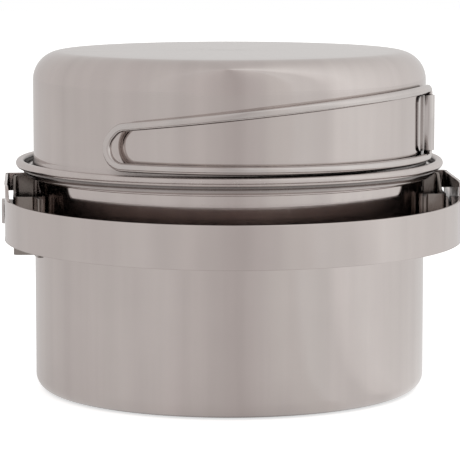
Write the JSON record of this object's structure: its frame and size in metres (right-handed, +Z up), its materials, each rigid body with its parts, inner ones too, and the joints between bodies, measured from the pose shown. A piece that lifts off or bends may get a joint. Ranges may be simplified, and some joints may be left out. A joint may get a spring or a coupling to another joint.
{
  "type": "camping cook pot set",
  "caption": "Steel camping pot with a folding strap bail and a collar that holds an upturned frying pan as its lid, with a folding wire loop handle.",
  "frame": {"origin": "on the pot's axis, in the plane of the flat bottom that it stands on", "axes": "+Z up, X through the two bail rivets, and the folded bail reaches towards -Y"},
  "size_m": [0.193, 0.2085, 0.1428],
  "materials": {
    "pot_steel": "polished, with a fine satin collar",
    "pan_steel": "polished",
    "strap_steel": "fine satin",
    "bracket_steel": "polished pressed sheet",
    "wire_steel": "polished drawn wire",
    "rivet_steel": "satin"
  },
  "bodies": {
    "pot": {"pot_body": "pot_steel", "bail_lug_right": "bracket_steel", "bail_lug_left": "bracket_steel", "bail_rivet_right": "rivet_steel", "bail_rivet_left": "rivet_steel", "bail_washer_right": "rivet_steel", "bail_washer_left": "rivet_steel"},
    "bail": {"bail_strap": "strap_steel"},
    "pan": {"pan_body": "pan_steel", "pan_hinge_bracket": "bracket_steel"},
    "handle": {"pan_handle": "wire_steel"}
  },
  "joints": [
    {"name": "bail_swing", "type": "hinge", "parent": "pot", "child": "bail", "pos_m": [0, 0, 0.0752], "axis": [-1, 0, 0], "range_deg": [0, 145]},
    {"name": "pan_lift", "type": "slide", "parent": "pot", "child": "pan", "axis": [0, 0, 1], "range_m": [0, 0.1]},
    {"name": "handle_fold", "type": "hinge", "parent": "pan", "child": "handle", "pos_m": [0.08103, -0.02633, 0.1139], "axis": [0, 0, 1], "range_deg": [0, 145]}
  ]
}
